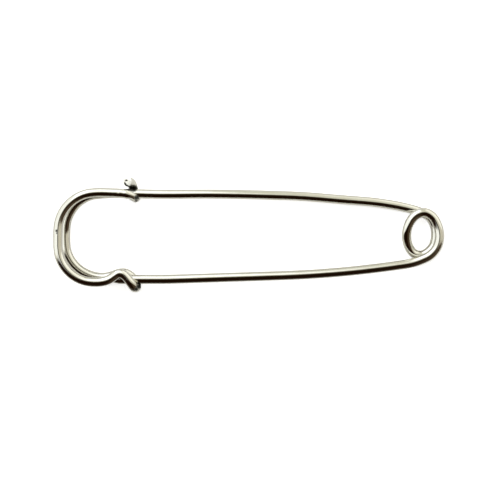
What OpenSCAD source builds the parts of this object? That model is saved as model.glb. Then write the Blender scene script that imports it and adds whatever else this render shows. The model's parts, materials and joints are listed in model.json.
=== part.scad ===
// Bent wire pin with a spring coil at one end and a double bow with a hook at the other.
// It lies flat: length along X, height along Y, wire layers along Z, underside at Z = 0.
// The origin is under the middle of its outline.

/* [Wire] */
// Diameter of the round wire
wire_d = 1.8; // [1.6:0.1:1.9]
// Air between two strands that lie on each other
layer_gap = 0.1; // [0.08:0.02:0.2]

/* [Whole pin] */
// Length over the bow and the coil
pin_len = 75; // [70:1:84]
// Angle between the pin's straight run and the length
pin_tilt = 1.9; // [1.2:0.1:2.6]

/* [Coil] */
// Width of the upper turn, between wire centres
coil_w = 6.5; // [6:0.1:7.2]
// Height of the upper turn, between wire centres
coil_h = 9.2; // [8.8:0.1:10]
// Air between the pin's end face and the coil's end face
butt_gap = 0.15; // [0.1:0.05:0.4]

/* [Bow] */
// Upper corner radius of the front strand, at the wire centre
bow_top_r = 7.3; // [6.4:0.1:7.6]
// Lower corner radius of the front strand, at the wire centre
bow_low_r = 6.9; // [6.4:0.1:7.2]
// How far the back strand's side lies inside the front strand's
bow_inset = 1.2; // [0.8:0.1:2]

/* [Point] */
// Length of the sharpened cone
cone_len = 3.4; // [2:0.1:8]
// Radius of the blunted point
point_r = 0.12; // [0.08:0.02:0.3]

/* [Hidden] */
$fn = 48;

wire_r = wire_d / 2;
layer_step = wire_d + layer_gap;
// Corners of the wire's section where it is swept along the frame's route
section_sides = 16;
// Largest turn between two sections of the sweep, in degrees
sweep_turn = 11;

// Share of half its width that the coil reaches to the right
coil_reach = 0.98;
coil_x = pin_len / 2 - wire_r - coil_reach * coil_w / 2;
bow_x = -pin_len / 2 + wire_r;

// Radius and angle of the pin's bends, from the coil back to the point
coil_bend_r = 11;
coil_bend = 15;
shoulder_bend_r = 205;
shoulder_bend = 6.8;
catch_bend_r = 120;
// Place of the pin's end face from the coil's centre
pin_end_dx = -0.25;
pin_end_dy = -4.6;
// Level run that the hook holds, and how far the point stays from the bow's side
catch_len = 7.4;
point_dx = 8.2;

function height(layer) = wire_r + layer * layer_step;
function heading(a) = [cos(a), sin(a)];
// Way along a bend of radius r that is followed backwards from heading a0 to heading a1
function bend_way(r, a0, a1) = r * [sin(a1) - sin(a0), cos(a0) - cos(a1)];

shoulder_heading = pin_tilt + shoulder_bend;
pin_end_heading = shoulder_heading + coil_bend;
coil_bend_way = bend_way(coil_bend_r, pin_end_heading, shoulder_heading);
shoulder_way = bend_way(shoulder_bend_r, shoulder_heading, pin_tilt);
catch_bend_way = bend_way(catch_bend_r, pin_tilt, 0);
// The straight run takes up what the other runs leave of the length
level_start_x = bow_x + point_dx + cone_len + catch_len;
bends_dx = coil_bend_way[0] + shoulder_way[0] + catch_bend_way[0];
run_len = (coil_x + pin_end_dx + bends_dx - level_start_x) / cos(pin_tilt);
run_way = -run_len * heading(pin_tilt);

// Height of the arm over the coil's centre, of the stub's crest over the arm, and of the level run
arm_rise = 8.02;
stub_rise = 2.3;
level_rise = pin_end_dy + coil_bend_way[1] + shoulder_way[1] + run_way[1] + catch_bend_way[1];
// Depth of the hook's turn under the level run, and the share of its thickness that pressing leaves
hook_drop = 1.76;
hook_share = 0.8;
// The coil sits where stub and hook reach equally far from Y = 0
stub_top = arm_rise + stub_rise + wire_r;
hook_low = level_rise - hook_drop - wire_r * hook_share;
coil_y = -(stub_top + hook_low) / 2;

arm_y = coil_y + arm_rise;
pin_p0 = [coil_x + pin_end_dx, coil_y + pin_end_dy];
pin_p1 = pin_p0 + coil_bend_way;
pin_p2 = pin_p1 + shoulder_way;
pin_p3 = pin_p2 + run_way;
pin_p4 = pin_p3 + catch_bend_way;
pin_y = pin_p4[1];

// Columns of every route table: across, up, layer (0 on the floor), thickness of the wire as a share
ACROSS = 0;
UP = 1;
LAYER = 2;
SHARE = 3;

// Turns of the coil as shares of half its width and half its height, from the pin's end round to the arm
coil_rows = [
    [0.42, -0.82, 1, 1],
    [0.84, -0.46, 1, 1],
    [coil_reach, -0.02, 1, 1],
    [0.84, 0.47, 1, 1],
    [0.54, 0.82, 1, 1],
    [0.10, 0.98, 1, 1],
    [-0.42, 0.86, 1, 1],
    [-0.78, 0.57, 0.97, 1],
    [-0.95, 0.20, 0.84, 1],
    [-0.94, -0.16, 0.54, 1],
    [-0.78, -0.50, 0.20, 1],
    [-0.48, -0.75, 0.02, 1],
    [-0.08, -0.82, 0, 1],
    [0.33, -0.69, 0, 1],
    [0.66, -0.42, 0, 1],
    [0.80, -0.02, 0, 1],
    [0.72, 0.46, 0, 1],
    [0.44, 0.80, 0, 1],
    [-0.10, 1.00, 0, 1]
];

// Arm, from the coil's centre across and from the arm's level run up
arm_rows = [
    [-1.9, -2.9, 0, 1],
    [-4.2, -2.35, 0, 1],
    [-8.0, -1.7, 0.05, 1],
    [-15.8, -1.0, 0.25, 1],
    [-23.5, -0.4, 0.45, 1],
    [-31, -0.15, 0.65, 1],
    [-39, 0, 0.85, 1]
];

// Hook, from the bow's side across and from the pin's centre up: under the pin, round it and over it
hook_rows = [
    [10.2, 0.7, 0, 1],
    [11.6, 1.2, 0, 1],
    [12.8, 1.2, 0, 1],
    [13.7, 0.7, 0, 1],
    [14.25, 0.1, 0, 1],
    [14.7, -0.65, 0.02, 0.95],
    [14.88, -1.3, 0.25, 0.85],
    [14.82, -1.7, 0.7, hook_share],
    [14.7, -hook_drop, 1.25, hook_share],
    [14.5, -1.5, 1.75, 0.85],
    [14.05, -0.8, 1.98, 0.95],
    [13.3, 0.2, 2, 1],
    [12.6, 0.95, 2, 1],
    [11.7, 1.22, 2, 1],
    [10.7, 0.6, 2, 1],
    [9.6, -0.1, 2, 1],
    [8.4, -0.42, 2, 1]
];

// Wrap and stub, from the bow's side across and from the arm's centre up.
// The wire is pressed flat where it goes round the arm, and a little where it goes round the pin.
wrap_rows = [
    [10.4, 0.2, 2, 1],
    [11.7, 0.15, 2, 1],
    [12.8, 0.05, 2, 1],
    [13.6, -0.15, 1.98, 0.95],
    [14.2, -0.65, 1.83, 0.7],
    [14.5, -1.24, 1.35, 0.42],
    [14.62, -1.37, 0.8, 0.4],
    [14.74, -0.95, 0.33, 0.6],
    [14.62, -0.15, 0.02, 0.85],
    [14.3, 0.8, 0, 1],
    [14.15, 1.65, 0.4, 1],
    [13.95, 2.2, 1.0, 1],
    [13.65, stub_rise, 1.6, 1],
    [13.3, 2.26, 2.1, 1]
];

// Quarter of an oval about c, from angle a0 to a1, with the layer going from l0 to l1
function oval_rows(c, rx, ry, a0, a1, l0, l1) = [
    for (i = [0:corner_steps])
        let (t = i / corner_steps, a = a0 + (a1 - a0) * t)
        [c[0] + rx * cos(a), c[1] + ry * sin(a), l0 + (l1 - l0) * t, 1]
];

function shifted(rows, x, y) = [
    for (row = rows) [row[ACROSS] + x, row[UP] + y, row[LAYER], row[SHARE]]
];

function stretched(rows, sx, sy) = [
    for (row = rows) [row[ACROSS] * sx, row[UP] * sy, row[LAYER], row[SHARE]]
];

// The back strand's corners are ovals, the front strand's are round
corner_steps = 6;
back_top_rx = 6.8;
back_top_ry = 7.1;
back_low_rx = 7.3;
back_low_ry = 6.7;
// How far the corners end above the arm's and the pin's level, and the back strand's layer at its side
back_low_rise = 0.35;
front_top_rise = 0.25;
front_low_rise = -0.5;
side_top_layer = 0.18;
side_low_layer = 0.16;
back_top_c = [bow_x + bow_inset + back_top_rx, arm_y - back_top_ry];
back_low_c = [bow_x + bow_inset + back_low_rx, pin_y + back_low_rise + back_low_ry];
front_top_c = [bow_x + bow_top_r, arm_y + front_top_rise - bow_top_r];
front_low_c = [bow_x + bow_low_r, pin_y + front_low_rise + bow_low_r];
// Where the arm's straight part ends, from the bow's side
arm_end_dx = 17.6;

// The coil's wire carries on from the pin's end face with a short lead
lead_len = 0.6;
lead_turn = 2;
coil_start = pin_p0 + butt_gap * heading(pin_end_heading);
coil_lead = coil_start + lead_len * heading(pin_end_heading + lead_turn);

// Whole route of the frame's wire, from its end face at the pin round to the cut stub
route = concat(
    [
        [coil_start[0], coil_start[1], 1, 1],
        [coil_lead[0], coil_lead[1], 1, 1]
    ],
    shifted(stretched(coil_rows, coil_w / 2, coil_h / 2), coil_x, coil_y),
    shifted(arm_rows, coil_x, arm_y),
    [[bow_x + arm_end_dx, arm_y, 1, 1]],
    oval_rows(back_top_c, back_top_rx, back_top_ry, 90, 180, 1, side_top_layer),
    oval_rows(back_low_c, back_low_rx, back_low_ry, 180, 270, side_low_layer, 0),
    shifted(hook_rows, bow_x, pin_y),
    oval_rows(front_low_c, bow_low_r, bow_low_r, 270, 180, 2, 2),
    oval_rows(front_top_c, bow_top_r, bow_top_r, 180, 90, 2, 2),
    shifted(wrap_rows, bow_x, arm_y)
);

function place(row) = [row[ACROSS], row[UP], height(row[LAYER])];
function share(row) = row[SHARE];
function unit(v) = v / norm(v);
function angle_between(u, v) = acos(max(-1, min(1, unit(u) * unit(v))));

knots = [for (row = route) place(row)];
last_knot = len(knots) - 1;
function chord(i) = knots[i + 1] - knots[i];
function knot_turn(i) = i <= 0 || i >= last_knot ? 0 : angle_between(chord(i - 1), chord(i));
function slope(i) =
    i == 0 ? unit(chord(0)) :
    i == last_knot ? unit(chord(last_knot - 1)) :
    unit(unit(chord(i - 1)) * norm(chord(i)) + unit(chord(i)) * norm(chord(i - 1)));

function on_floor(p) = [p[0], p[1], max(p[2], wire_r)];
// Point at share t of the smooth curve between knots i and i + 1
function curve_point(i, t) =
    let (d = norm(chord(i)), a = slope(i) * d, b = slope(i + 1) * d)
    on_floor(
        (2 * t * t * t - 3 * t * t + 1) * knots[i] + (t * t * t - 2 * t * t + t) * a +
        (3 * t * t - 2 * t * t * t) * knots[i + 1] + (t * t * t - t * t) * b
    );

function curve_steps(i) = max(1, ceil((knot_turn(i) + knot_turn(i + 1)) / 2 / sweep_turn));

path = concat(
    [for (i = [0:last_knot - 1]) let (n = curve_steps(i)) for (j = [0:n - 1]) curve_point(i, j / n)],
    [knots[last_knot]]
);
path_share = concat(
    [
        for (i = [0:last_knot - 1])
            let (n = curve_steps(i))
            for (j = [0:n - 1]) share(route[i]) + (share(route[i + 1]) - share(route[i])) * j / n
    ],
    [share(route[last_knot])]
);
last_ring = len(path) - 1;

function path_slope(i) = unit(path[min(i + 1, last_ring)] - path[max(i - 1, 0)]);
function square_to(v, s) = unit(v - (v * s) * s);
// Sideways directions of the rings, each carried on from the one before without twist
sides = [
    for (i = 0, side = square_to([0, 0, 1], path_slope(0));
        i <= last_ring;
        i = i + 1, side = i <= last_ring ? square_to(side, path_slope(i)) : side) side
];

// Direction in which the wire is pressed flat: away from the arm at the wrap, and from the pin at the hook
function press_way(p, s) =
    s < 1 ? unit([0, p[1] - (p[1] > 0 ? arm_y : pin_y), p[2] - height(1)]) : [0, 0, 1];
function pressed(q, way, s) = q - (1 - s) * (q * way) * way;

function ring(i) =
    let (s = path_slope(i), u = sides[i], v = cross(s, u), way = press_way(path[i], path_share[i]))
    [
        for (k = [0:section_sides - 1])
            let (a = (k + 0.5) * 360 / section_sides)
            path[i] + pressed(wire_r * (cos(a) * u + sin(a) * v), way, path_share[i])
    ];

module swept_wire() {
    points = [for (i = [0:last_ring]) each ring(i)];
    n = section_sides;
    walls = [
        for (i = [0:last_ring - 1], k = [0:n - 1])
            let (a = i * n + k, b = i * n + (k + 1) % n)
            each [[a, a + n, b + n], [a, b + n, b]]
    ];
    first_cap = [for (k = [0:n - 1]) k];
    last_cap = [for (k = [n - 1:-1:0]) last_ring * n + k];
    polyhedron(points, concat([first_cap, last_cap], walls), convexity = 10);
}

// Straight runs reach this far into the bends beside them, and the bends are a hair slimmer,
// so that each bend ends inside a straight run
seat_len = 0.2;
seat_step = 0.004;
// Least number of facets along a bend
bend_facets = 10;

// Round bar with its axis at heading a in the pin's layer, from a little before p to a little past the length
module straight_run(p, a, length) {
    translate([p[0], p[1], height(1)])
        rotate([0, 0, a])
            translate([-seat_len, 0, 0])
                rotate([0, 90, 0])
                    cylinder(h = length + 2 * seat_len, r = wire_r);
}

// Bent round bar of bend radius r between headings a0 and a1, ending at p with heading a1
module bent_run(p, r, a0, a1) {
    translate([p[0] - r * sin(a1), p[1] + r * cos(a1), height(1)])
        rotate([0, 0, a0 - 90])
            rotate_extrude(angle = a1 - a0, $fn = max($fn, ceil(bend_facets * 360 / (a1 - a0))))
                translate([r, 0])
                    circle(r = wire_r - seat_step, $fn = 48);
}

// Sharpened end, a cone from the wire's full thickness at p to the blunted point
module point(p) {
    translate([p[0] - cone_len, p[1], height(1)]) {
        rotate([0, 90, 0]) cylinder(h = cone_len, r1 = point_r, r2 = wire_r);
        sphere(r = point_r);
    }
}

module frame_wire() {
    color("silver") swept_wire();
}

module pin_stem() {
    cone_p = pin_p4 - [catch_len, 0];
    color("gainsboro")
        union() {
            bent_run(pin_p0, coil_bend_r, shoulder_heading, pin_end_heading);
            straight_run(pin_p1, shoulder_heading, 0);
            bent_run(pin_p1, shoulder_bend_r, pin_tilt, shoulder_heading);
            straight_run(pin_p3, pin_tilt, run_len);
            bent_run(pin_p3, catch_bend_r, 0, pin_tilt);
            straight_run(cone_p + [seat_len, 0], 0, catch_len - seat_len);
            point(cone_p);
        }
}

frame_wire();
pin_stem();
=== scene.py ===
import bpy
import json
import math
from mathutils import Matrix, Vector


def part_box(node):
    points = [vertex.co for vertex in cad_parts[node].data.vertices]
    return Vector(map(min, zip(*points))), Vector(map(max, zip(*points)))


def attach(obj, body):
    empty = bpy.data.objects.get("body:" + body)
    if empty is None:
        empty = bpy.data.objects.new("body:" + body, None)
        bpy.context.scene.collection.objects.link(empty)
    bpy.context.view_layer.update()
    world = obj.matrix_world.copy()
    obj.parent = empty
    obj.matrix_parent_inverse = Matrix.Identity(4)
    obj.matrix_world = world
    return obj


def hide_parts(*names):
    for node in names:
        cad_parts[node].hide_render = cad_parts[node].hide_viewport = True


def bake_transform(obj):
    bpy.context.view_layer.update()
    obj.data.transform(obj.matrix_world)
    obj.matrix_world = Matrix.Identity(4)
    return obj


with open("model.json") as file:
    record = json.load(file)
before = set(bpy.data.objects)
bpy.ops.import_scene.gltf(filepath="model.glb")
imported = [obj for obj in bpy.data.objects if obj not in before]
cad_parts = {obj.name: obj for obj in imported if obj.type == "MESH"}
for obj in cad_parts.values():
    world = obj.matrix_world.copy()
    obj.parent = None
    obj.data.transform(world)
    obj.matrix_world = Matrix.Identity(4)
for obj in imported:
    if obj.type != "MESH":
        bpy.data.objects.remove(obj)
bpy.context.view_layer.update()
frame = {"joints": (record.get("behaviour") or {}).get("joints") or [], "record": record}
mm = 0.001
print("frame loaded")

# The frame gives the wire's gauge, the coil's centre, and the levels of the bow, the arm and the pin
frameLow, frameHigh = [Vector(corner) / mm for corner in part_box("frame_wire")]
pinLow, pinHigh = [Vector(corner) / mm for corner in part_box("pin_stem")]
hub = Vector(frame["joints"][0]["pos_m"]) / mm
pinRun = next(mount for mount in frame["record"]["mounts"] if mount["name"] == "pin_run")
wireRadius = pinRun["dims"]["r_mm"]
layerStep = hub.z - wireRadius

wire = {
    "routeStep": 0.1,           # mm between two points of the route
    "ringStep": 0.2,            # mm between two rings of the sweep
    "endRings": (0, 0.08),      # route steps, a close pair of rings that keeps a flat end's edge
    "sides": 48,
    "smoothing": 0.35,          # mm over which the given points are rounded off
    "pressReach": 0.2,          # mm from the held wire within which pressing is upright
    "waveHeight": 0.006,        # mm, slow waves that drawing and bending leave
    "waveScale": 420.0,         # per metre
    "sharpAngle": 50.0,         # degrees, past which an edge stays sharp
    "stubRise": 2.3,            # mm, stub's crest over the arm
}
bowX = frameLow.x + wireRadius
pinY = pinLow.y + wireRadius
armY = frameHigh.y - wireRadius - wire["stubRise"]

# The route, in mm: across, up, layer (0 on the floor), share of the thickness that pressing leaves
coil = {
    "halfWidth": 3.25,
    "halfHeight": 4.6,
    "turns": [
        [0.42, -0.82, 1, 1], [0.84, -0.46, 1, 1], [0.98, -0.02, 1, 1], [0.84, 0.47, 1, 1],
        [0.54, 0.82, 1, 1], [0.10, 0.98, 1, 1], [-0.42, 0.86, 1, 1], [-0.78, 0.57, 0.97, 1],
        [-0.95, 0.20, 0.84, 1], [-0.94, -0.16, 0.54, 1], [-0.78, -0.50, 0.20, 1], [-0.48, -0.75, 0.02, 1],
        [-0.08, -0.82, 0, 1], [0.33, -0.69, 0, 1], [0.66, -0.42, 0, 1], [0.80, -0.02, 0, 1],
        [0.72, 0.46, 0, 1], [0.44, 0.80, 0, 1], [-0.10, 1.00, 0, 1],
    ],
    "splitRow": 5,              # the coil's top, where the wire of the pin ends and that of the frame begins
    "bends": (0.9, -0.85),      # shares of the half height between which the real wire bends along with the pin
}
pin = {
    "endPlace": (-0.25, -4.6),    # where the coil takes over, from the coil's centre
    "tilt": 1.9,
    "coilBend": (11, 15),         # radius in mm and angle in degrees
    "shoulderBend": (205, 6.8),
    "catchBendRadius": 120,
    "catchLength": 7.4,
    "coneLength": 3.4,
    "pointRadius": 0.12,
    "leastRadius": 0.02,
    "pointRings": (0, 0.1, 0.25, 0.5, 0.75, 1.0),    # route steps between the point and its first rings
}
arm = {
    "fromCoil": [
        [-1.9, -2.9, 0, 1], [-4.2, -2.35, 0, 1], [-8.0, -1.7, 0.05, 1], [-15.8, -1.0, 0.25, 1],
        [-23.5, -0.4, 0.45, 1], [-31, -0.15, 0.65, 1], [-39, 0, 0.85, 1],
    ],
    "toBow": [                  # from the bow, level under the front strand
        [17.6, 0, 1, 1], [13.265, 0.122, 1, 1], [10.094, 0.146, 1, 1],
    ],
}
bow = {
    "inset": 1.2,                 # back strand's side inside the front strand's
    "backTop": (6.8, 7.1),        # half widths of the back corners' ovals
    "backLow": (7.3, 6.7),
    "backLowRise": 0.35,
    "backLayers": (0.18, 0.16),
    "frontTop": 7.3,              # radii of the front corners
    "frontLow": 6.9,
    "frontTopRise": 0.25,
    "frontLowRise": -0.5,
}
hook = {
    "turn": [
        [10.2, 0.7, 0, 1], [11.6, 1.2, 0, 1], [12.8, 1.2, 0, 1], [13.7, 0.7, 0, 1], [14.25, 0.1, 0, 1],
        [14.7, -0.65, 0.02, 0.95], [14.88, -1.3, 0.25, 0.85], [14.82, -1.7, 0.7, 0.8],
        [14.7, -1.76, 1.25, 0.8], [14.5, -1.5, 1.75, 0.85], [14.05, -0.8, 1.98, 0.95],
        [13.3, 0.2, 2, 1], [12.6, 0.95, 2, 1], [11.7, 1.22, 2, 1], [10.7, 0.6, 2, 1],
        [9.6, -0.1, 2, 1], [8.4, -0.42, 2, 1],
    ],
}
wrap = {
    "turn": [
        [10.4, 0.2, 2, 1], [11.7, 0.15, 2, 1], [12.8, 0.05, 2, 1], [13.6, -0.15, 1.98, 0.95],
        [14.2, -0.65, 1.83, 0.7], [14.5, -1.24, 1.35, 0.42], [14.62, -1.37, 0.8, 0.4],
        [14.74, -0.95, 0.33, 0.6], [14.62, -0.15, 0.02, 0.85], [14.3, 0.8, 0, 1], [14.15, 1.65, 0.4, 1],
        [13.95, 2.2, 1.0, 1], [13.65, 2.3, 1.6, 1], [13.3, 2.26, 2.1, 1],
    ],
}


def placed(rows, x, y, scaleX=1.0, scaleY=1.0):
    return [[row[0] * scaleX + x, row[1] * scaleY + y, row[2], row[3]] for row in rows]


def cornerRows(centre, radii, fromAngle, toAngle, layers, steps=6):
    rows = []
    for i in range(steps + 1):
        share = i / steps
        angle = math.radians(fromAngle + (toAngle - fromAngle) * share)
        rows.append([centre[0] + radii[0] * math.cos(angle), centre[1] + radii[1] * math.sin(angle),
                     layers[0] + (layers[1] - layers[0]) * share, 1])
    return rows


def bendRows(start, radius, fromHeading, toHeading, steps):
    # A bend followed backwards: the heading turns while the wire goes towards the point
    rows = []
    a0 = math.radians(fromHeading)
    for i in range(1, steps + 1):
        a1 = math.radians(fromHeading + (toHeading - fromHeading) * i / steps)
        rows.append([start[0] + radius * (math.sin(a1) - math.sin(a0)),
                     start[1] + radius * (math.cos(a0) - math.cos(a1)), 1, 1])
    return rows


def straightRows(start, end, steps):
    return [[start[0] + (end[0] - start[0]) * i / steps, start[1] + (end[1] - start[1]) * i / steps, 1, 1]
            for i in range(1, steps + 1)]


def pinRows():
    shoulderHeading = pin["tilt"] + pin["shoulderBend"][1]
    endHeading = shoulderHeading + pin["coilBend"][1]
    rows = [[hub.x + pin["endPlace"][0], hub.y + pin["endPlace"][1], 1, 1]]
    rows += bendRows(rows[-1], pin["coilBend"][0], endHeading, shoulderHeading, 4)
    rows += bendRows(rows[-1], pin["shoulderBend"][0], shoulderHeading, pin["tilt"], 12)
    levelX = pinLow.x + pin["coneLength"] + pin["catchLength"] + pin["pointRadius"]
    catchWay = bendRows([0, 0], pin["catchBendRadius"], pin["tilt"], 0, 1)[0]
    rows += straightRows(rows[-1], [levelX - catchWay[0], pinY - catchWay[1]], 10)
    rows += bendRows(rows[-1], pin["catchBendRadius"], pin["tilt"], 0, 3)
    rows += straightRows(rows[-1], [pinLow.x, pinY], 8)
    return rows[::-1]


def wholeRoute():
    # From the pin's point over coil, arm, back of the bow, hook, front of the bow and wrap to the cut stub
    rows = pinRows()
    splitKnot = len(rows) + coil["splitRow"]
    rows += placed(coil["turns"], hub.x, hub.y, coil["halfWidth"], coil["halfHeight"])
    rows += placed(arm["fromCoil"], hub.x, armY)
    rows += placed(arm["toBow"], bowX, armY)
    top, low, side = bow["backTop"], bow["backLow"], bowX + bow["inset"]
    rows += cornerRows((side + top[0], armY - top[1]), top, 90, 180, (1, bow["backLayers"][0]))
    rows += cornerRows((side + low[0], pinY + bow["backLowRise"] + low[1]), low, 180, 270,
                       (bow["backLayers"][1], 0))
    rows += placed(hook["turn"], bowX, pinY)
    top, low = bow["frontTop"], bow["frontLow"]
    rows += cornerRows((bowX + low, pinY + bow["frontLowRise"] + low), (low, low), 270, 180, (2, 2))
    rows += cornerRows((bowX + top, armY + bow["frontTopRise"] - top), (top, top), 180, 90, (2, 2))
    rows += placed(wrap["turn"], bowX, armY)
    return [Vector((row[0], row[1], wireRadius + row[2] * layerStep, row[3])) for row in rows], splitKnot


def denseCurve(knots, step):
    # Smooth curve through the knots, as points of place and share, with the knots' own positions in the list
    last = len(knots) - 1
    chords = [knots[i + 1] - knots[i] for i in range(last)]
    lengths = [chord.to_3d().length for chord in chords]

    def slope(i):
        if i == 0:
            return chords[0].to_3d().normalized()
        if i == last:
            return chords[last - 1].to_3d().normalized()
        before, after = chords[i - 1].to_3d() / lengths[i - 1], chords[i].to_3d() / lengths[i]
        return (before * lengths[i] + after * lengths[i - 1]).normalized()

    points, knotIndex = [], []
    for i in range(last):
        knotIndex.append(len(points))
        a, b = slope(i) * lengths[i], slope(i + 1) * lengths[i]
        count = max(1, round(lengths[i] / step))
        for j in range(count):
            t = j / count
            place = ((2 * t ** 3 - 3 * t ** 2 + 1) * knots[i].to_3d() + (t ** 3 - 2 * t ** 2 + t) * a
                     + (3 * t ** 2 - 2 * t ** 3) * knots[i + 1].to_3d() + (t ** 3 - t ** 2) * b)
            share = knots[i].w + (knots[i + 1].w - knots[i].w) * t
            points.append(Vector((*place, share)))
    knotIndex.append(len(points))
    points.append(knots[last].copy())
    return points, knotIndex


def rounded(points, step, reach):
    # Gaussian average along the wire; past each end the line is carried on through the end point
    half = max(1, round(3 * reach / step))
    weights = [math.exp(-0.5 * (k * step / reach) ** 2) for k in range(-half, half + 1)]
    total = sum(weights)
    first, final = points[0], points[-1]
    before = [2 * first - points[k] for k in range(half, 0, -1)]
    after = [2 * final - points[-1 - k] for k in range(1, half + 1)]
    padded = before + points + after
    result = []
    for i in range(len(points)):
        mean = Vector((0, 0, 0, 0))
        for k, weight in enumerate(weights):
            mean += padded[i + k] * weight
        mean /= total
        mean.x = max(mean.x, bowX)
        mean.z = max(mean.z, wireRadius)
        result.append(mean)
    return result


def routeMesh(name, points, swells):
    # A line of vertices in metres that carries the wire's thickness and how it is pressed
    mesh = bpy.data.meshes.new(name)
    mesh.from_pydata([point.to_3d() * mm for point in points], [(i, i + 1) for i in range(len(points) - 1)], [])
    swell = mesh.attributes.new("swell", "FLOAT", "POINT")
    press = mesh.attributes.new("press", "FLOAT", "POINT")
    pressWay = mesh.attributes.new("pressWay", "FLOAT_VECTOR", "POINT")
    for i, point in enumerate(points):
        held = armY if point.y > 0 else pinY
        way = Vector((0, point.y - held, point.z - hub.z))
        swell.data[i].value = swells[i]
        press.data[i].value = min(1.0, point.w)
        pressWay.data[i].vector = way.normalized() if way.length > wire["pressReach"] else Vector((0, 0, 1))
    return mesh


def addNode(tree, kind, **settings):
    node = tree.nodes.new(kind)
    for key, value in settings.items():
        if key == "ins":
            for socket, content in value.items():
                node.inputs[socket].default_value = content
        else:
            setattr(node, key, value)
    return node


def drawnWireTree():
    # Sweeps a round section along a route, pressed where the route says so, and keeps each point's place on it
    tree = bpy.data.node_groups.new("drawnWire", "GeometryNodeTree")
    tree.interface.new_socket("Geometry", in_out="OUTPUT", socket_type="NodeSocketGeometry")
    for title, kind in (("Geometry", "Geometry"), ("Radius", "Float"), ("Sides", "Int"),
                        ("Wave Height", "Float"), ("Wave Scale", "Float"), ("Finish", "Material")):
        tree.interface.new_socket(title, in_out="INPUT", socket_type="NodeSocket" + kind)
    link = tree.links.new
    start, end = tree.nodes.new("NodeGroupInput"), tree.nodes.new("NodeGroupOutput")

    keepCentre = addNode(tree, "GeometryNodeStoreNamedAttribute", data_type="FLOAT_VECTOR",
                         ins={"Name": "centre"})
    link(start.outputs["Geometry"], keepCentre.inputs["Geometry"])
    link(tree.nodes.new("GeometryNodeInputPosition").outputs[0], keepCentre.inputs["Value"])
    toCurve = tree.nodes.new("GeometryNodeMeshToCurve")
    link(keepCentre.outputs[0], toCurve.inputs["Mesh"])
    keepLength = addNode(tree, "GeometryNodeStoreNamedAttribute", data_type="FLOAT", ins={"Name": "along"})
    link(toCurve.outputs[0], keepLength.inputs["Geometry"])
    link(tree.nodes.new("GeometryNodeSplineParameter").outputs["Length"], keepLength.inputs["Value"])

    circle = tree.nodes.new("GeometryNodeCurvePrimitiveCircle")
    link(start.outputs["Sides"], circle.inputs["Resolution"])
    link(start.outputs["Radius"], circle.inputs["Radius"])
    keepRound = addNode(tree, "GeometryNodeStoreNamedAttribute", data_type="FLOAT_VECTOR",
                        ins={"Name": "around"})
    link(circle.outputs["Curve"], keepRound.inputs["Geometry"])
    link(tree.nodes.new("GeometryNodeInputPosition").outputs[0], keepRound.inputs["Value"])

    sweep = addNode(tree, "GeometryNodeCurveToMesh", ins={"Fill Caps": True})
    link(keepLength.outputs[0], sweep.inputs["Curve"])
    link(keepRound.outputs[0], sweep.inputs["Profile Curve"])
    swell = addNode(tree, "GeometryNodeInputNamedAttribute", data_type="FLOAT", ins={"Name": "swell"})
    link(swell.outputs["Attribute"], sweep.inputs["Scale"])

    def vectorMath(operation, a, b=None, scale=None):
        node = addNode(tree, "ShaderNodeVectorMath", operation=operation)
        link(a, node.inputs[0])
        if b is not None:
            link(b, node.inputs[1])
        if scale is not None:
            link(scale, node.inputs["Scale"])
        return node.outputs["Value"] if operation == "DOT_PRODUCT" else node.outputs["Vector"]

    def named(name, kind):
        node = addNode(tree, "GeometryNodeInputNamedAttribute", data_type=kind, ins={"Name": name})
        return node.outputs["Attribute"]

    # Pressed flat: what of each point's offset from the centre line lies along the pressing is shortened
    place = tree.nodes.new("GeometryNodeInputPosition").outputs[0]
    offset = vectorMath("SUBTRACT", place, named("centre", "FLOAT_VECTOR"))
    way = named("pressWay", "FLOAT_VECTOR")
    lost = addNode(tree, "ShaderNodeMath", operation="SUBTRACT", ins={1: 1.0})
    link(named("press", "FLOAT"), lost.inputs[0])
    depth = addNode(tree, "ShaderNodeMath", operation="MULTIPLY")
    link(vectorMath("DOT_PRODUCT", offset, way), depth.inputs[0])
    link(lost.outputs[0], depth.inputs[1])
    press = tree.nodes.new("GeometryNodeSetPosition")
    link(sweep.outputs[0], press.inputs["Geometry"])
    link(vectorMath("SCALE", way, scale=depth.outputs[0]), press.inputs["Offset"])

    # Straightened coordinates for the finish: length along the wire, then the place on the round section
    pair = tree.nodes.new("ShaderNodeSeparateXYZ")
    link(named("around", "FLOAT_VECTOR"), pair.inputs[0])
    flat = tree.nodes.new("ShaderNodeCombineXYZ")
    link(named("along", "FLOAT"), flat.inputs["X"])
    link(pair.outputs["X"], flat.inputs["Y"])
    link(pair.outputs["Y"], flat.inputs["Z"])
    keepFlat = addNode(tree, "GeometryNodeStoreNamedAttribute", data_type="FLOAT_VECTOR",
                       ins={"Name": "wireSpace"})
    link(press.outputs[0], keepFlat.inputs["Geometry"])
    link(flat.outputs[0], keepFlat.inputs["Value"])

    # Slow, tiny waves that drawing and bending leave in the surface
    waves = addNode(tree, "ShaderNodeTexNoise", ins={"Detail": 1.0})
    link(start.outputs["Wave Scale"], waves.inputs["Scale"])
    link(named("wireSpace", "FLOAT_VECTOR"), waves.inputs["Vector"])
    centred = addNode(tree, "ShaderNodeMath", operation="SUBTRACT", ins={1: 0.5})
    link(waves.outputs["Fac"], centred.inputs[0])
    height = addNode(tree, "ShaderNodeMath", operation="MULTIPLY")
    link(centred.outputs[0], height.inputs[0])
    link(start.outputs["Wave Height"], height.inputs[1])
    lift = tree.nodes.new("GeometryNodeSetPosition")
    link(keepFlat.outputs[0], lift.inputs["Geometry"])
    normal = tree.nodes.new("GeometryNodeInputNormal").outputs[0]
    link(vectorMath("SCALE", normal, scale=height.outputs[0]), lift.inputs["Offset"])

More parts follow.
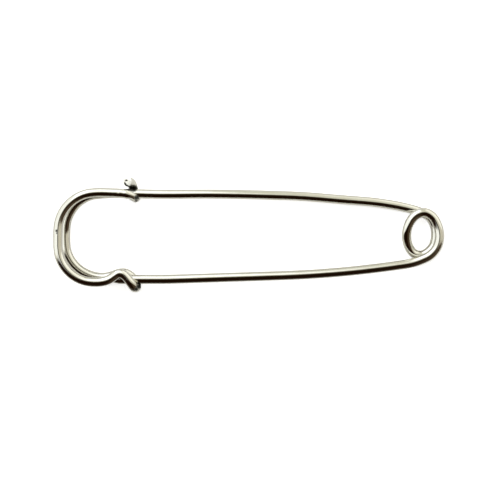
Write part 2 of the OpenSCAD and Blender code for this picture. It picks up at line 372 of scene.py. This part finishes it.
    smooth = addNode(tree, "GeometryNodeSetShadeSmooth")
    link(lift.outputs[0], smooth.inputs["Geometry"])
    realize = tree.nodes.new("GeometryNodeRealizeInstances")
    link(smooth.outputs[0], realize.inputs[0])
    finish = tree.nodes.new("GeometryNodeSetMaterial")
    link(realize.outputs[0], finish.inputs["Geometry"])
    link(start.outputs["Finish"], finish.inputs["Material"])
    link(finish.outputs[0], end.inputs[0])
    return tree


def sweptPiece(name, tree, points, swells, material):
    route = bpy.data.objects.new(name + "Route", routeMesh(name + "Route", points, swells))
    bpy.context.scene.collection.objects.link(route)
    modifier = route.modifiers.new("drawnWire", "NODES")
    modifier.node_group = tree
    values = {"Radius": wireRadius * mm, "Sides": wire["sides"], "Wave Height": wire["waveHeight"] * mm,
              "Wave Scale": wire["waveScale"], "Finish": material}
    for item in tree.interface.items_tree:
        if item.item_type == "SOCKET" and item.in_out == "INPUT" and item.name in values:
            modifier[item.identifier] = values[item.name]
    bpy.context.view_layer.update()
    evaluated = route.evaluated_get(bpy.context.evaluated_depsgraph_get())
    mesh = bpy.data.meshes.new_from_object(evaluated)
    route.modifiers.clear()
    bpy.data.objects.remove(route)
    mesh.name = name
    mesh.set_sharp_from_angle(angle=math.radians(wire["sharpAngle"]))
    piece = bpy.data.objects.new(name, mesh)
    bpy.context.scene.collection.objects.link(piece)
    print(name, "made with", len(mesh.polygons), "faces")
    return piece


plating = {
    "colour": (0.715, 0.70, 0.635, 1),
    "stainColour": (0.655, 0.63, 0.545, 1),
    "stainScale": 260.0,          # clouds per metre
    "stainRange": (0.35, 0.75),   # between clean and stained
    "roughness": (0.05, 0.16),
    "roughRange": (0.3, 0.8),     # of the drawing lines, between the two
    "lineScale": 9000.0,          # drawing lines across the wire, per metre
    "lineStretch": 0.03,          # how much slower they change along the wire
    "lineDepth": 0.0012,          # mm
    "dimpleScale": 2600.0,
    "dimpleDepth": 0.0025,
}
# Painted shade: black, dull patches where the creases, the cut's underside, the hook and the nick lie in shade
grime = {
    "places": [                   # across from the bow, up from the arm, radius in mm, strength
        [14.5, 1.1, 0.75, 1.0], [13.9, 1.2, 0.5, 1.0], [13.1, 1.0, 0.4, 0.6],            # stub's foot
        [12.8, 2.1, 0.16, 1.0], [12.85, 1.93, 0.19, 1.0], [12.97, 1.76, 0.21, 1.0],      # under its cut
        [13.12, 1.63, 0.21, 1.0], [13.3, 1.54, 0.21, 1.0], [13.5, 1.47, 0.19, 1.0],
        [15.0, -0.7, 0.5, 0.9], [14.95, -1.3, 0.32, 0.7],                                # wrap
        [15.55, -17.65, 0.6, 1.0], [15.5, -17.1, 0.45, 1.0], [15.0, -18.2, 0.4, 0.9],    # hook
        [-0.2, -7.05, 0.25, 0.9], [-0.1, -7.5, 0.2, 0.8],                                # nick
    ],
    "colour": (0.008, 0.008, 0.003, 1),
    "dullness": 0.85,             # roughness that it adds
}


def platingMaterial(name):
    material = bpy.data.materials.new(name)
    material.use_nodes = True
    tree = material.node_tree
    tree.nodes.clear()
    link = tree.links.new
    output = tree.nodes.new("ShaderNodeOutputMaterial")
    shader = addNode(tree, "ShaderNodeBsdfPrincipled", ins={"Metallic": 1.0})
    link(shader.outputs[0], output.inputs["Surface"])
    space = addNode(tree, "ShaderNodeAttribute", attribute_name="wireSpace").outputs["Vector"]

    # Stain: slow clouds of a yellower, duller tint
    clouds = addNode(tree, "ShaderNodeTexNoise",
                     ins={"Scale": plating["stainScale"], "Detail": 4.0, "Roughness": 0.6})
    link(space, clouds.inputs["Vector"])
    ramp = tree.nodes.new("ShaderNodeValToRGB")
    colours = (plating["colour"], plating["stainColour"])
    for element, place, colour in zip(ramp.color_ramp.elements, plating["stainRange"], colours):
        element.position = place
        element.color = colour
    link(clouds.outputs["Fac"], ramp.inputs["Fac"])

    # Painted shade: black and dull where the vertices carry it, in the creases and under the cut
    shadeAmount = addNode(tree, "ShaderNodeAttribute", attribute_name="grime")
    tinted = addNode(tree, "ShaderNodeMix", data_type="RGBA")
    link(shadeAmount.outputs["Fac"], tinted.inputs[0])
    link(ramp.outputs["Color"], tinted.inputs[6])
    tinted.inputs[7].default_value = grime["colour"]
    link(tinted.outputs[2], shader.inputs["Base Color"])

    # Drawing lines run along the wire, so their pattern is stretched in that direction
    stretch = addNode(tree, "ShaderNodeMapping", ins={"Scale": (plating["lineStretch"], 1.0, 1.0)})
    link(space, stretch.inputs["Vector"])
    lines = addNode(tree, "ShaderNodeTexNoise", ins={"Scale": plating["lineScale"], "Detail": 3.0})
    link(stretch.outputs["Vector"], lines.inputs["Vector"])
    dimples = addNode(tree, "ShaderNodeTexNoise", ins={"Scale": plating["dimpleScale"], "Detail": 2.0})
    link(space, dimples.inputs["Vector"])
    gloss = addNode(tree, "ShaderNodeMapRange",
                    ins={"From Min": plating["roughRange"][0], "From Max": plating["roughRange"][1],
                         "To Min": plating["roughness"][0], "To Max": plating["roughness"][1]})
    link(lines.outputs["Fac"], gloss.inputs["Value"])
    dull = addNode(tree, "ShaderNodeMath", operation="MULTIPLY_ADD", ins={1: grime["dullness"]})
    link(shadeAmount.outputs["Fac"], dull.inputs[0])
    link(gloss.outputs["Result"], dull.inputs[2])
    link(dull.outputs[0], shader.inputs["Roughness"])
    lineBump = addNode(tree, "ShaderNodeBump", ins={"Strength": 1.0, "Distance": plating["lineDepth"] * mm})
    link(lines.outputs["Fac"], lineBump.inputs["Height"])
    dimpleBump = addNode(tree, "ShaderNodeBump", ins={"Strength": 1.0, "Distance": plating["dimpleDepth"] * mm})
    link(dimples.outputs["Fac"], dimpleBump.inputs["Height"])
    link(lineBump.outputs["Normal"], dimpleBump.inputs["Normal"])
    link(dimpleBump.outputs["Normal"], shader.inputs["Normal"])
    return material


studio = {
    "sensorWidth": 36.0,
    "photoWidth": 480,            # pixels
    "pixel": 0.1922,              # mm of the object that one pixel covers
    "cameraDistance": 400.0,      # from the level of the pin
    "pinLevel": 2.7,
    "middle": (249.12, 234.83),   # pixel of the photograph over the object's origin
    "floorRadius": 3000.0,
    "floorSides": 64,
}


def makeCamera():
    data = bpy.data.cameras.new("camera")
    data.sensor_width = studio["sensorWidth"]
    data.lens = data.sensor_width * studio["cameraDistance"] / (studio["photoWidth"] * studio["pixel"])
    camera = bpy.data.objects.new("camera", data)
    half = studio["photoWidth"] / 2
    camera.location = Vector(((half - studio["middle"][0]) * studio["pixel"],
                              (studio["middle"][1] - half) * studio["pixel"],
                              studio["cameraDistance"] + studio["pinLevel"])) * mm
    bpy.context.scene.collection.objects.link(camera)
    bpy.context.scene.camera = camera


table = {
    "colour": (0.86, 0.85, 0.82, 1),
    "white": 0.75,                         # light of its own that the camera sees, so that it stays plain
    "nearWay": (0.06, -1.0, 0.0),          # across the pin, away from the arm
    "nearEdge": (12.0, 20.0),              # mm
    # painted shadow on the table past the pin, seen only in what the wire mirrors
    "nearColour": (0.05, 0.04, 0.03, 1),
    "glow": 0.16,                          # the same for what the wire mirrors
}


def makeFloor():
    radius = studio["floorRadius"] * mm
    mesh = bpy.data.meshes.new("floor")
    count = studio["floorSides"]
    rim = [(radius * math.cos(2 * math.pi * i / count), radius * math.sin(2 * math.pi * i / count), 0)
           for i in range(count)]
    mesh.from_pydata(rim, [], [list(range(count))])
    floor = bpy.data.objects.new("floor", mesh)
    bpy.context.scene.collection.objects.link(floor)
    material = bpy.data.materials.new("paleTable")
    material.use_nodes = True
    tree = material.node_tree
    tree.nodes.clear()
    link = tree.links.new
    output = tree.nodes.new("ShaderNodeOutputMaterial")
    paint = addNode(tree, "ShaderNodeBsdfDiffuse", ins={"Color": table["colour"]})

    def lifted(strength):
        glow = addNode(tree, "ShaderNodeEmission", ins={"Color": (1, 1, 1, 1), "Strength": strength})
        both = tree.nodes.new("ShaderNodeAddShader")
        link(paint.outputs[0], both.inputs[0])
        link(glow.outputs[0], both.inputs[1])
        return both.outputs[0]

    # The wire mirrors a table darkened by painted shadow on the photographer's side of it, while the camera
    # sees it plain and pale
    slanted = addNode(tree, "ShaderNodeVectorMath", operation="DOT_PRODUCT", ins={1: table["nearWay"]})
    link(tree.nodes.new("ShaderNodeTexCoord").outputs["Object"], slanted.inputs[0])
    near = addNode(tree, "ShaderNodeMapRange", interpolation_type="SMOOTHSTEP",
                   ins={"From Min": table["nearEdge"][0] * mm, "From Max": table["nearEdge"][1] * mm})
    link(slanted.outputs["Value"], near.inputs["Value"])
    shadow = addNode(tree, "ShaderNodeBsdfDiffuse", ins={"Color": table["nearColour"]})
    mirrored = tree.nodes.new("ShaderNodeMixShader")
    link(near.outputs["Result"], mirrored.inputs["Fac"])
    link(lifted(table["glow"]), mirrored.inputs[1])
    link(shadow.outputs[0], mirrored.inputs[2])
    seen = tree.nodes.new("ShaderNodeLightPath")
    choose = tree.nodes.new("ShaderNodeMixShader")
    link(seen.outputs["Is Camera Ray"], choose.inputs["Fac"])
    link(mirrored.outputs[0], choose.inputs[1])
    link(lifted(table["white"]), choose.inputs[2])
    link(choose.outputs[0], output.inputs["Surface"])
    mesh.materials.append(material)


sky = {
    "wall": (0.88, 0.88, 0.76, 1),          # cream wall on the bright side
    "window": (1.36, 1.40, 1.40, 1),        # past the bow
    "windowEdge": (-0.30, -0.08),           # where one turns into the other, by the direction's x
    "side": (0.78, 0.75, 0.64, 1),          # duller wall past the coil
    "sideWay": (0.80, -0.60, 0.0),
    "sideEdge": (0.12, 0.34),
    "corner": (1.40, 1.40, 1.30, 1),        # white doorway between that wall and the bright one
    "cornerEdge": (0.10, 0.25),             # by the product of the direction's x and y
    "room": (0.012, 0.004, 0.0008, 1),      # dark room behind the photographer
    "roomWarm": (0.09, 0.062, 0.038, 1),    # its side towards the coil
    "warmEdge": (0.1, 0.7),
    "roomLow": (0.12, 0.09, 0.07, 1),
    "lowEdge": (0.0, 0.16),                 # where the room's low part turns dark, by the direction's height
    "roomEdge": (-0.12, 0.08),              # where the room ends, by the direction's y
    "roomLean": (-0.29, 0.18),              # how window and wall cut into the room, by the direction's x
    "shade": (0.07, 0.055, 0.04, 1),        # the camera itself
    "shadeWay": (0.04, 0.02, 1.0),
    "shadeEdge": (0.978, 0.992),
    "backdrop": (0.93, 0.93, 0.92, 1),
}
softbox = {
    "place": (-51.0, 150.0, 130.0),         # mm
    "size": (155.0, 220.0),
    "radiance": 1.0,
    "colour": (0.80, 0.85, 1.0),
    "fade": (0.0, 0.22),                    # share of its width over which it fades out at the coil's side
}


def makeSky():
    # A bright window side and a dark room side, as the wire mirrors them; the camera sees a plain backdrop
    world = bpy.data.worlds.new("studio")
    bpy.context.scene.world = world
    world.use_nodes = True
    tree = world.node_tree
    tree.nodes.clear()
    link = tree.links.new
    output = tree.nodes.new("ShaderNodeOutputWorld")
    direction = tree.nodes.new("ShaderNodeTexCoord").outputs["Generated"]
    parts = tree.nodes.new("ShaderNodeSeparateXYZ")
    link(direction, parts.inputs[0])

    def towards(way):
        dot = addNode(tree, "ShaderNodeVectorMath", operation="DOT_PRODUCT", ins={1: Vector(way).normalized()})
        link(direction, dot.inputs[0])
        return dot.outputs["Value"]

    def blend(value, edge, low, high):
        step = addNode(tree, "ShaderNodeMapRange", interpolation_type="SMOOTHSTEP",
                       ins={"From Min": edge[0], "From Max": edge[1]})
        link(value, step.inputs["Value"])
        mix = addNode(tree, "ShaderNodeMix", data_type="RGBA")
        link(step.outputs["Result"], mix.inputs[0])
        for socket, colour in ((6, low), (7, high)):
            if isinstance(colour, tuple):
                mix.inputs[socket].default_value = colour
            else:
                link(colour, mix.inputs[socket])
        return mix.outputs[2]

    bright = blend(parts.outputs["X"], sky["windowEdge"], sky["window"], sky["wall"])
    bright = blend(towards(sky["sideWay"]), sky["sideEdge"], bright, sky["side"])
    diagonal = addNode(tree, "ShaderNodeMath", operation="MULTIPLY")
    link(parts.outputs["X"], diagonal.inputs[0])
    link(parts.outputs["Y"], diagonal.inputs[1])
    bright = blend(diagonal.outputs[0], sky["cornerEdge"], bright, sky["corner"])
    dark = blend(parts.outputs["X"], sky["warmEdge"], sky["room"], sky["roomWarm"])
    dark = blend(parts.outputs["Z"], sky["lowEdge"], sky["roomLow"], dark)
    leans = []
    for slope in sky["roomLean"]:
        lean = addNode(tree, "ShaderNodeMath", operation="MULTIPLY", ins={1: slope})
        link(parts.outputs["X"], lean.inputs[0])
        leans.append(lean.outputs[0])
    cut = addNode(tree, "ShaderNodeMath", operation="MAXIMUM")
    link(leans[0], cut.inputs[0])
    link(leans[1], cut.inputs[1])
    height = addNode(tree, "ShaderNodeMath", operation="ADD")
    link(parts.outputs["Y"], height.inputs[0])
    link(cut.outputs[0], height.inputs[1])
    light = blend(height.outputs[0], sky["roomEdge"], dark, bright)
    light = blend(towards(sky["shadeWay"]), sky["shadeEdge"], light, sky["shade"])
    lit = tree.nodes.new("ShaderNodeBackground")
    link(light, lit.inputs["Color"])
    backdrop = addNode(tree, "ShaderNodeBackground", ins={"Color": sky["backdrop"]})
    seen = tree.nodes.new("ShaderNodeLightPath")
    choose = tree.nodes.new("ShaderNodeMixShader")
    link(seen.outputs["Is Camera Ray"], choose.inputs["Fac"])
    link(lit.outputs[0], choose.inputs[1])
    link(backdrop.outputs[0], choose.inputs[2])
    link(choose.outputs[0], output.inputs["Surface"])


def makeSoftbox():
    # Soft panel over the bow, fading out towards the coil, that only the wire and the floor see
    data = bpy.data.lights.new("softbox", "AREA")
    data.shape = "RECTANGLE"
    data.size, data.size_y = [side * mm for side in softbox["size"]]
    data.color = softbox["colour"]
    data.energy = softbox["radiance"] * math.pi * data.size * data.size_y
    data.use_nodes = True
    tree = data.node_tree
    across = tree.nodes.new("ShaderNodeSeparateXYZ")
    tree.links.new(tree.nodes.new("ShaderNodeNewGeometry").outputs["Parametric"], across.inputs[0])
    fade = addNode(tree, "ShaderNodeMapRange", interpolation_type="SMOOTHSTEP",
                   ins={"From Min": softbox["fade"][0], "From Max": softbox["fade"][1]})
    tree.links.new(across.outputs["X"], fade.inputs["Value"])
    glow = next(node for node in tree.nodes if node.bl_idname == "ShaderNodeEmission")
    tree.links.new(fade.outputs["Result"], glow.inputs["Strength"])
    light = bpy.data.objects.new("softbox", data)
    light.location = Vector(softbox["place"]) * mm
    light.rotation_euler = light.location.to_track_quat("Z", "Y").to_euler()
    light.visible_camera = False
    bpy.context.scene.collection.objects.link(light)


makeCamera()
makeFloor()
makeSky()
makeSoftbox()
bpy.context.scene.view_settings.view_transform = "Standard"
print("camera, floor and light ready")

knots, splitKnot = wholeRoute()
points, knotIndex = denseCurve(knots, wire["routeStep"])
points = rounded(points, wire["routeStep"], wire["smoothing"])
splitIndex = knotIndex[splitKnot]
every = round(wire["ringStep"] / wire["routeStep"])
print("route laid with", len(points), "points")


def distances(some):
    run = [0.0]
    for a, b in zip(some, some[1:]):
        run.append(run[-1] + (b - a).to_3d().length)
    return run


def lerped(a, b, t):
    return a + (b - a) * t


def sampled(some, closeStart, closeEnd):
    # One point for each ring, with extra ones close to the ends, where the section changes fast
    inner = some[every:-every:every]
    start = [lerped(some[0], some[1], t) for t in closeStart]
    end = [lerped(some[-1], some[-2], t) for t in closeEnd]
    return start + inner + end[::-1]


cutFace = {
    "rings": 16,                  # between the rim of the cut and its middle
    "ringStep": 0.01,             # route steps between two of them
    "leadRings": [0.4, 0.8],      # route steps from the end to the rings before the rim
    "rimSize": 0.985,
    "closing": 0.2,
}
faceRings = [cutFace["ringStep"] * i for i in range(cutFace["rings"])]
pinPoints = sampled(points[:splitIndex + 1], pin["pointRings"], wire["endRings"])
framePoints = sampled(points[splitIndex:], wire["endRings"], faceRings + cutFace["leadRings"])
cutPlace = points[-1].to_3d()
cutWay = (points[-1] - points[-4]).to_3d().normalized()


def pinSwells(some):
    run = distances(some)
    tip = pin["pointRadius"]
    values = []
    for length in run:
        cone = tip + (wireRadius - tip) * min(1.0, max(0.0, length - tip) / pin["coneLength"])
        cap = wireRadius
        if length < tip:
            cap = math.sqrt(max(pin["leastRadius"] ** 2, tip ** 2 - (tip - length) ** 2))
        values.append(min(cone, cap) / wireRadius)
    return values


def frameSwells(some):
    # The last rings close the cut end inwards, so that its face can be shaped
    values = [1.0] * len(some)
    rings = cutFace["rings"]
    for i in range(rings):
        inward = i / rings
        values[i - rings] = cutFace["rimSize"] * math.sqrt(1 - inward ** 3) - cutFace["closing"] * inward
    return values


nip = {
    "ridgeShift": 0.45,           # mm, the ridge of the cut from the middle of the end
    "ridgeTurn": 35.0,            # degrees
    "slopes": (0.5, 0.05),        # how far the two facets fall back from the ridge
    "lip": 0.15,                  # mm that the last shred of wire sticks up at the rim
    "lipWay": 215.0,              # degrees
    "lipWidth": 0.45,             # share of the radius
    "pit": (0.04, 0.2, 0.34, 0.22),    # place, radius and depth of the torn middle, in mm
    "reach": 0.5,                 # mm along the wire
}
dents = {
    "search": 0.25,               # mm around a place in which the top of the wire is looked for
    "places": [                   # across and up from the bow and the arm or the pin, radius and depth, in mm
        [-0.35, -7.3, 0.34, 0.06], [-0.28, -7.75, 0.22, 0.04],
        [12.6, 0.35, 0.5, 0.03], [13.3, -0.1, 0.42, 0.03], [12.1, -0.55, 0.4, 0.04], [13.9, -0.75, 0.4, 0.05],
        [11.4, 0.3, 0.35, 0.03], [14.1, 1.2, 0.45, 0.07],
    ],
    "flats": [                    # across, up and radius of what pliers squeezed from the side, and its move
        [15.35, -1.7, 0.75, -0.22, 0.16], [13.75, -1.75, 1.0, 0.0, 0.38],
    ],
}


def topPlace(mesh, x, y):
    # Topmost spot of the wire at a place that is given from the bow and the arm
    place = Vector((bowX + x, armY + y, 0))
    near = [v for v in mesh.vertices if (v.co.xy / mm - place.xy).length < dents["search"]]
    place.z = max(v.co.z for v in near) / mm
    return place


def paintShade(mesh):
    # Painted shade in the creases between the strands, under the cut, at the hook and in the nick, as a
    # strength on the vertices
    amounts = mesh.attributes.new("grime", "FLOAT", "POINT")
    for x, y, radius, strength in grime["places"]:
        place = Vector((bowX + x, armY + y))
        for vertex in mesh.vertices:
            gap = (vertex.co.xy / mm - place).length / radius
            if gap < 1:
                held = amounts.data[vertex.index]
                held.value = max(held.value, strength * (1 - gap ** 4))


def nipped(mesh):
    # Cutters leave two facets that meet in a ridge, and a lip on one side
    across = cutWay.orthogonal().normalized()
    up = cutWay.cross(across)
    turn = math.radians(nip["ridgeTurn"])
    lipTurn = math.radians(nip["lipWay"])
    run = mesh.attributes["wireSpace"].data
    wireEnd = max(item.vector.x for item in run)
    for vertex in mesh.vertices:
        if run[vertex.index].vector.x < wireEnd - wireRadius * mm:
            continue
        offset = vertex.co / mm - cutPlace
        depth = offset.dot(cutWay)
        share = min(1.0, max(0.0, 1 + depth / nip["reach"]))
        if share == 0:
            continue
        a, b = offset.dot(across), offset.dot(up)
        beside = a * math.cos(turn) + b * math.sin(turn) - nip["ridgeShift"]
        fall = -beside * nip["slopes"][0] if beside > 0 else beside * nip["slopes"][1]
        outward = (a * math.cos(lipTurn) + b * math.sin(lipTurn)) / wireRadius
        rim = max(0.0, 1 + (outward - 1) / nip["lipWidth"])
        gap = min(1.0, math.hypot(a - nip["pit"][0], b - nip["pit"][1]) / nip["pit"][2])
        torn = nip["pit"][3] * (1 - gap * gap) ** 2
        vertex.co += cutWay * (fall + nip["lip"] * rim ** 2 - torn) * share * share * mm


def dented(mesh):
    # Small dents that pliers and the bench left, each pressed in at the top of the wire at its place
    for x, y, radius, depth in dents["places"]:
        place = topPlace(mesh, x, y)
        for vertex in mesh.vertices:
            gap = (vertex.co / mm - place).length / radius
            if gap < 1:
                vertex.co -= vertex.normal * depth * (1 - gap * gap) ** 2 * mm
    for x, y, radius, across, up in dents["flats"]:
        place = Vector((bowX + x, armY + y))
        for vertex in mesh.vertices:
            gap = (vertex.co.xy / mm - place).length / radius
            if gap < 1:
                vertex.co += Vector((across, up, 0)) * (1 - gap * gap) * mm


nickel = platingMaterial("nickelPlate")
drawnWire = drawnWireTree()
frameWire = sweptPiece("frameWire", drawnWire, framePoints, frameSwells(framePoints), nickel)
nipped(frameWire.data)
dented(frameWire.data)
# painted shade in the creases and under the cut
paintShade(frameWire.data)
pinWire = sweptPiece("pinWire", drawnWire, pinPoints, pinSwells(pinPoints), nickel)

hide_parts("frame_wire")
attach(frameWire, "frame")
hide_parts("pin_stem")
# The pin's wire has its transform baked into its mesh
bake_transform(pinWire)
